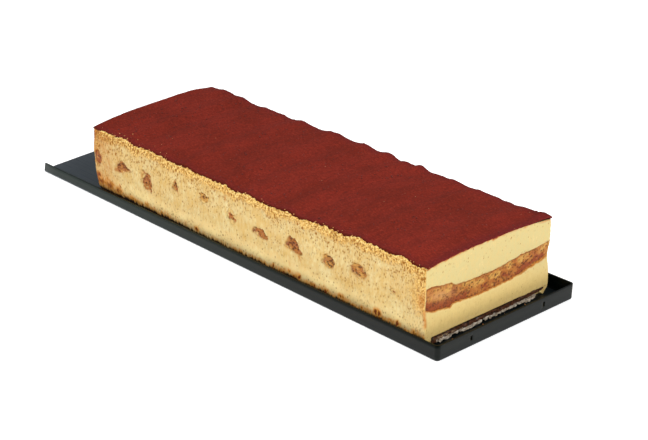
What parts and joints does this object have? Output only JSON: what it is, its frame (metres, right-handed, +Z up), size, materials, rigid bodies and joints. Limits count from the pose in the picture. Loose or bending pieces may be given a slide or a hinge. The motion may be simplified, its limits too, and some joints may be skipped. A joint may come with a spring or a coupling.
{
  "type": "tiramisu bar on tray",
  "caption": "Long tiramisu bar with cream and ladyfinger layers under a cocoa top, cut square at its ends, on a shallow tray with rims on its sides and one end.",
  "frame": {"origin": "middle of the tray's underside", "axes": "+X along the bar towards the tray's closed end, +Y from the front side to the back side, +Z up"},
  "size_m": [0.4074, 0.1248, 0.0577],
  "materials": {
    "tray_plastic": "black thermoformed plastic, glossy on the floor and satin on the rims",
    "base_biscuit": null,
    "chocolate": null,
    "cream": null,
    "cocoa": null,
    "ladyfinger": null
  },
  "bodies": {
    "root": {"tray": "tray_plastic", "base_biscuit": "base_biscuit", "chocolate_film": "chocolate", "lower_cream": "cream", "upper_cream": "cream", "cocoa_layer": "cocoa", "ladyfinger_01": "ladyfinger", "ladyfinger_02": "ladyfinger", "ladyfinger_03": "ladyfinger", "ladyfinger_04": "ladyfinger", "ladyfinger_05": "ladyfinger", "ladyfinger_06": "ladyfinger", "ladyfinger_07": "ladyfinger", "ladyfinger_08": "ladyfinger", "ladyfinger_09": "ladyfinger", "ladyfinger_10": "ladyfinger", "ladyfinger_11": "ladyfinger", "ladyfinger_12": "ladyfinger"}
  },
  "joints": []
}
